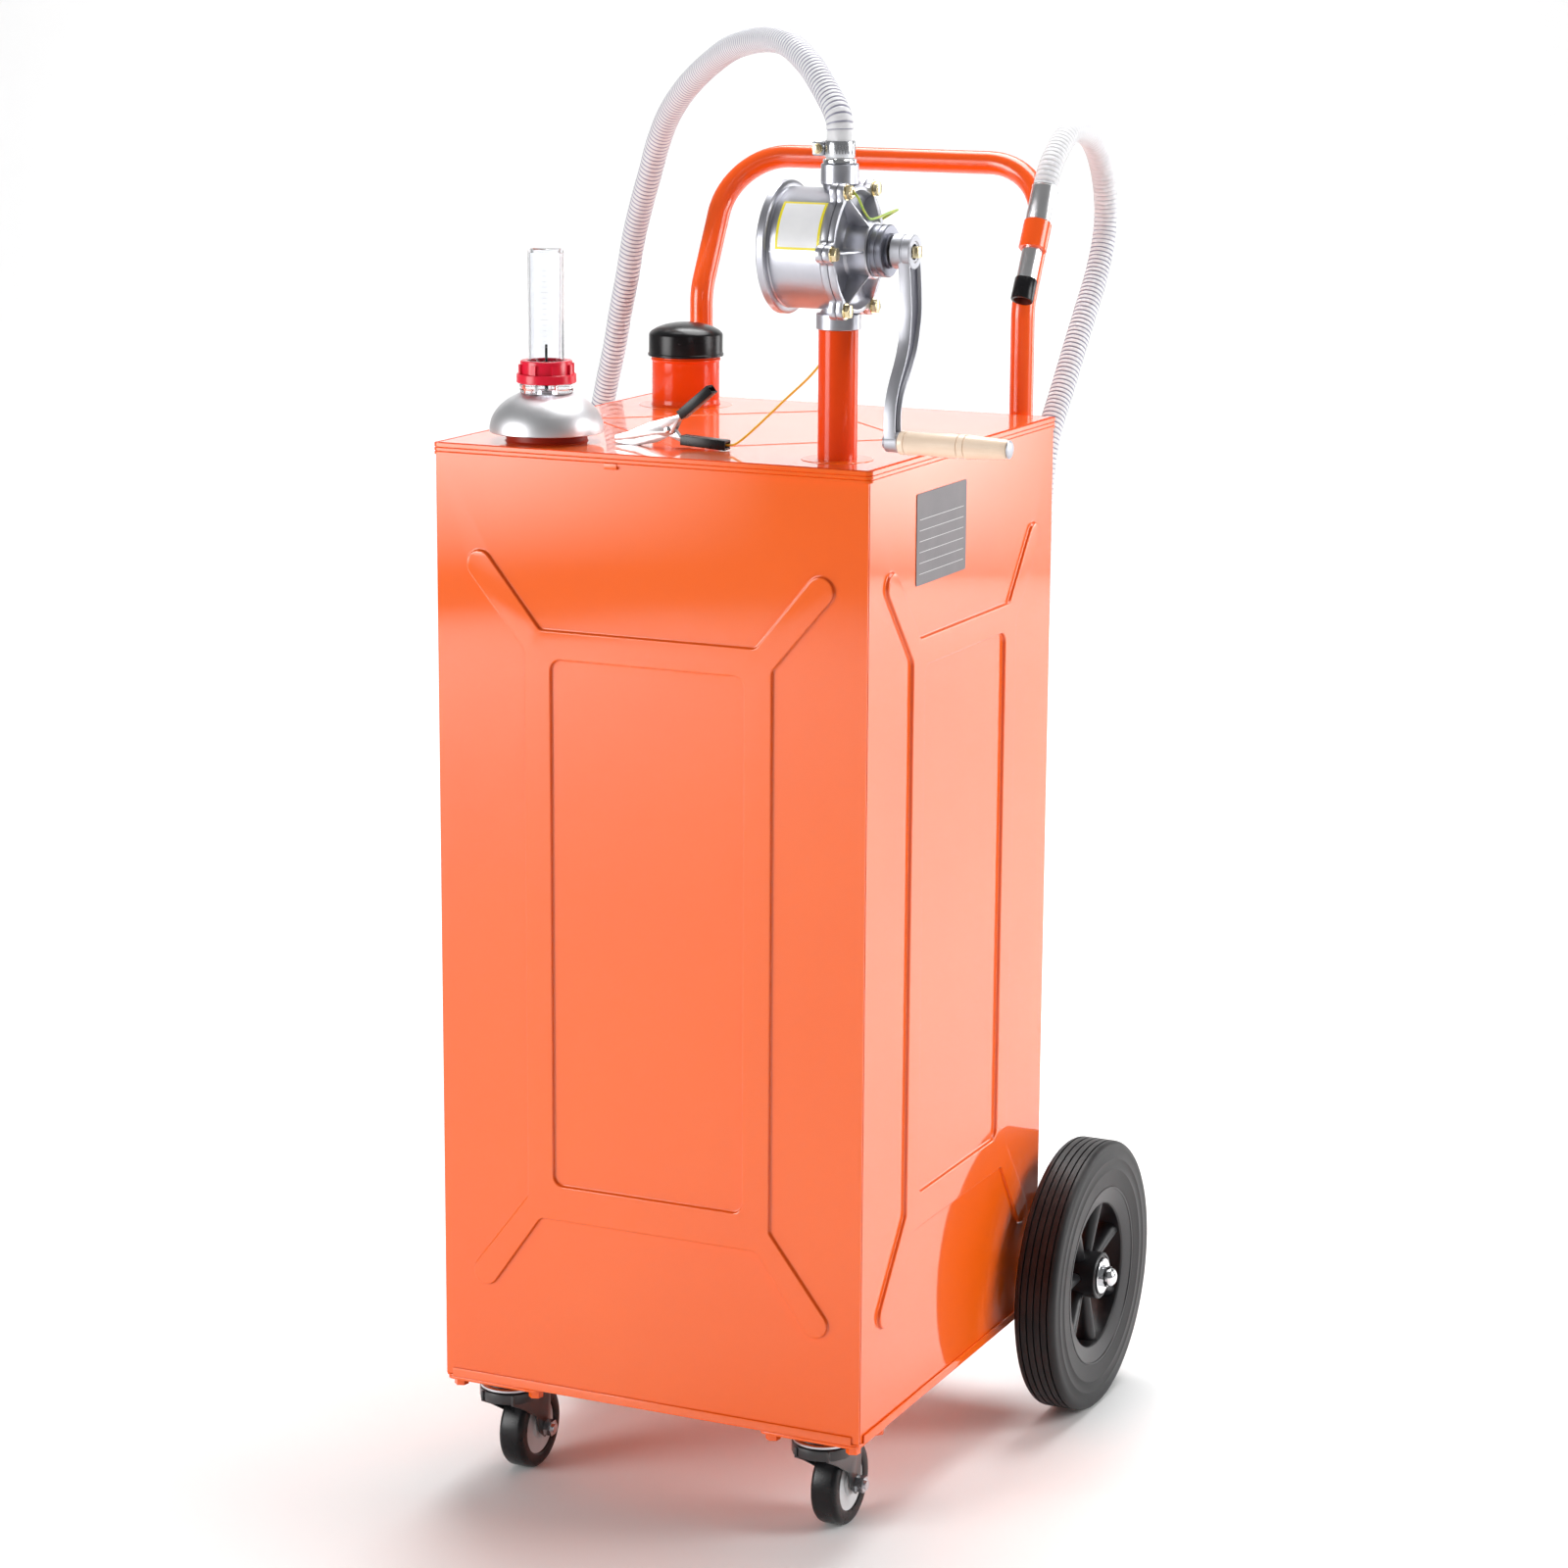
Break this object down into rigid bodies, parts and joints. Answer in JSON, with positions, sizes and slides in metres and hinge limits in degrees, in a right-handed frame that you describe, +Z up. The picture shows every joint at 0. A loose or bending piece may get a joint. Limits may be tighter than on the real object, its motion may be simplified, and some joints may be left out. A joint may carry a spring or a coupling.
{
  "type": "wheeled fuel caddy with rotary hand pump",
  "caption": "Upright wheeled steel fuel tank with rotary hand pump, float gauge, ribbed hose, nozzle, grounding clip and push handle.",
  "frame": {"origin": "on the floor, under the middle of the outline without the free cords", "axes": "+Z up; the front face looks towards -Y and the pump crank is on the +X side"},
  "size_m": [0.6197, 0.6261, 1.2606],
  "materials": {
    "orange_paint": "glossy orange paint",
    "bright_steel": "bright plated steel",
    "plain_steel": "plain steel",
    "cast_metal": "satin cast aluminium",
    "brass": "plain brass",
    "black_plastic": "black moulded plastic",
    "black_metal": "black painted metal",
    "red_plastic": "red moulded plastic",
    "clear_plastic": "clear plastic",
    "black_rubber": "black rubber",
    "tyre_rubber": "black tyre rubber",
    "wood": "turned varnished wood",
    "wire_sleeve": "green and yellow wire sleeve"
  },
  "bodies": {
    "tank": {"tank_front_panel": "orange_paint", "tank_rear_panel": "orange_paint", "tank_left_panel": "orange_paint", "tank_right_panel": "orange_paint", "tank_top": "orange_paint", "tank_bottom": "orange_paint", "filler_neck": "orange_paint", "gauge_dome": "bright_steel", "gauge_neck": "clear_plastic", "gauge_ring_nut": "red_plastic", "gauge_sight_tube": "clear_plastic", "gauge_stem": "brass", "pump_riser": "orange_paint", "suction_tube": "plain_steel", "pump_body": "cast_metal", "pump_cover": "cast_metal", "gland_nut": "cast_metal", "outlet_barb": "bright_steel", "outlet_clamp": "bright_steel", "fuel_hose": "clear_plastic", "nozzle_pipe": "bright_steel", "nozzle_tip": "black_plastic", "nozzle_holder": "orange_paint", "ground_wire": "wire_sleeve", "clip_lower_jaw": "bright_steel", "clip_lower_grip": "black_rubber", "clip_pivot": "bright_steel", "push_handle": "orange_paint", "rear_axle": "plain_steel", "axle_bracket": "orange_paint", "axle_nut_left": "bright_steel", "axle_nut_right": "bright_steel", "caster_plate_left": "orange_paint", "caster_plate_right": "orange_paint"},
    "gasket": {"cap_gasket": "black_rubber"},
    "cap": {"filler_cap": "black_plastic"},
    "float": {"gauge_float_arm": "brass", "gauge_float": "black_plastic"},
    "indicator": {"gauge_indicator_rod": "black_plastic"},
    "crank": {"crank_arm": "cast_metal", "pump_rotor": "brass", "pump_vane_1": "brass", "pump_vane_2": "brass", "grip_bolt": "bright_steel"},
    "grip": {"crank_grip": "wood"},
    "clip_jaw": {"clip_upper_jaw": "bright_steel", "clip_upper_grip": "black_rubber"},
    "wheel_left": {"rear_tyre_left": "tyre_rubber", "rear_rim_left": "black_plastic"},
    "fork_left": {"caster_fork_left": "black_metal", "caster_axle_left": "bright_steel"},
    "roller_left": {"caster_wheel_left": "black_rubber"},
    "brake_left": {"brake_lever_left": "black_metal"},
    "wheel_right": {"rear_tyre_right": "tyre_rubber", "rear_rim_right": "black_plastic"},
    "fork_right": {"caster_fork_right": "black_metal", "caster_axle_right": "bright_steel"},
    "roller_right": {"caster_wheel_right": "black_rubber"},
    "brake_right": {"brake_lever_right": "black_metal"}
  },
  "joints": [
    {"name": "cap_lift", "type": "slide", "parent": "tank", "child": "gasket", "axis": [0, 0, 1], "range_m": [0, 0.015]},
    {"name": "cap_turn", "type": "hinge", "parent": "gasket", "child": "cap", "pos_m": [-0.1519, 0.06175, 0.9735], "axis": [0, 0, 1], "range_deg": [0, 1080]},
    {"name": "float_swing", "type": "hinge", "parent": "tank", "child": "float", "pos_m": [-0.2094, -0.22025, 0.5535], "axis": [0, -1, 0], "range_deg": [0, 50]},
    {"name": "indicator_rise", "type": "slide", "parent": "tank", "child": "indicator", "axis": [0, 0, 1], "range_m": [0, 0.0626]},
    {"name": "crank_turn", "type": "hinge", "parent": "tank", "child": "crank", "pos_m": [0.1786, -0.21925, 1.0888], "axis": [1, 0, 0], "continuous": true},
    {"name": "grip_spin", "type": "hinge", "parent": "crank", "child": "grip", "pos_m": [0.2386, -0.25825, 0.9415], "axis": [1, 0, 0], "continuous": true},
    {"name": "wheel_spin_left", "type": "hinge", "parent": "tank", "child": "wheel_left", "pos_m": [-0.2569, 0.15075, 0.125], "axis": [1, 0, 0], "continuous": true},
    {"name": "wheel_spin_right", "type": "hinge", "parent": "tank", "child": "wheel_right", "pos_m": [0.2141, 0.15075, 0.125], "axis": [1, 0, 0], "continuous": true},
    {"name": "caster_swivel_left", "type": "hinge", "parent": "tank", "child": "fork_left", "pos_m": [-0.1724, -0.24325, 0.0815], "axis": [0, 0, 1], "continuous": true},
    {"name": "caster_spin_left", "type": "hinge", "parent": "fork_left", "child": "roller_left", "pos_m": [-0.1724, -0.20825, 0.0375], "axis": [1, 0, 0], "continuous": true},
    {"name": "brake_press_left", "type": "hinge", "parent": "fork_left", "child": "brake_left", "pos_m": [-0.1724, -0.20275, 0.0815], "axis": [-1, 0, 0], "range_deg": [0, 8]},
    {"name": "caster_swivel_right", "type": "hinge", "parent": "tank", "child": "fork_right", "pos_m": [0.1296, -0.24325, 0.0815], "axis": [0, 0, 1], "continuous": true},
    {"name": "caster_spin_right", "type": "hinge", "parent": "fork_right", "child": "roller_right", "pos_m": [0.1296, -0.20825, 0.0375], "axis": [1, 0, 0], "continuous": true},
    {"name": "brake_press_right", "type": "hinge", "parent": "fork_right", "child": "brake_right", "pos_m": [0.1296, -0.20275, 0.0815], "axis": [-1, 0, 0], "range_deg": [0, 8]},
    {"name": "clip_open", "type": "hinge", "parent": "tank", "child": "clip_jaw", "pos_m": [-0.0309, -0.21425, 0.9342], "axis": [0, 1, 0], "range_deg": [0, 25], "stiffness_Nm_per_rad": 0.05, "springref_deg": -28.65}
  ],
  "couplings": [
    {"joint": "cap_turn", "follows": "cap_lift", "rad_per_m": 1256.6},
    {"joint": "indicator_rise", "follows": "float_swing", "m_per_rad": 0.0716}
  ]
}
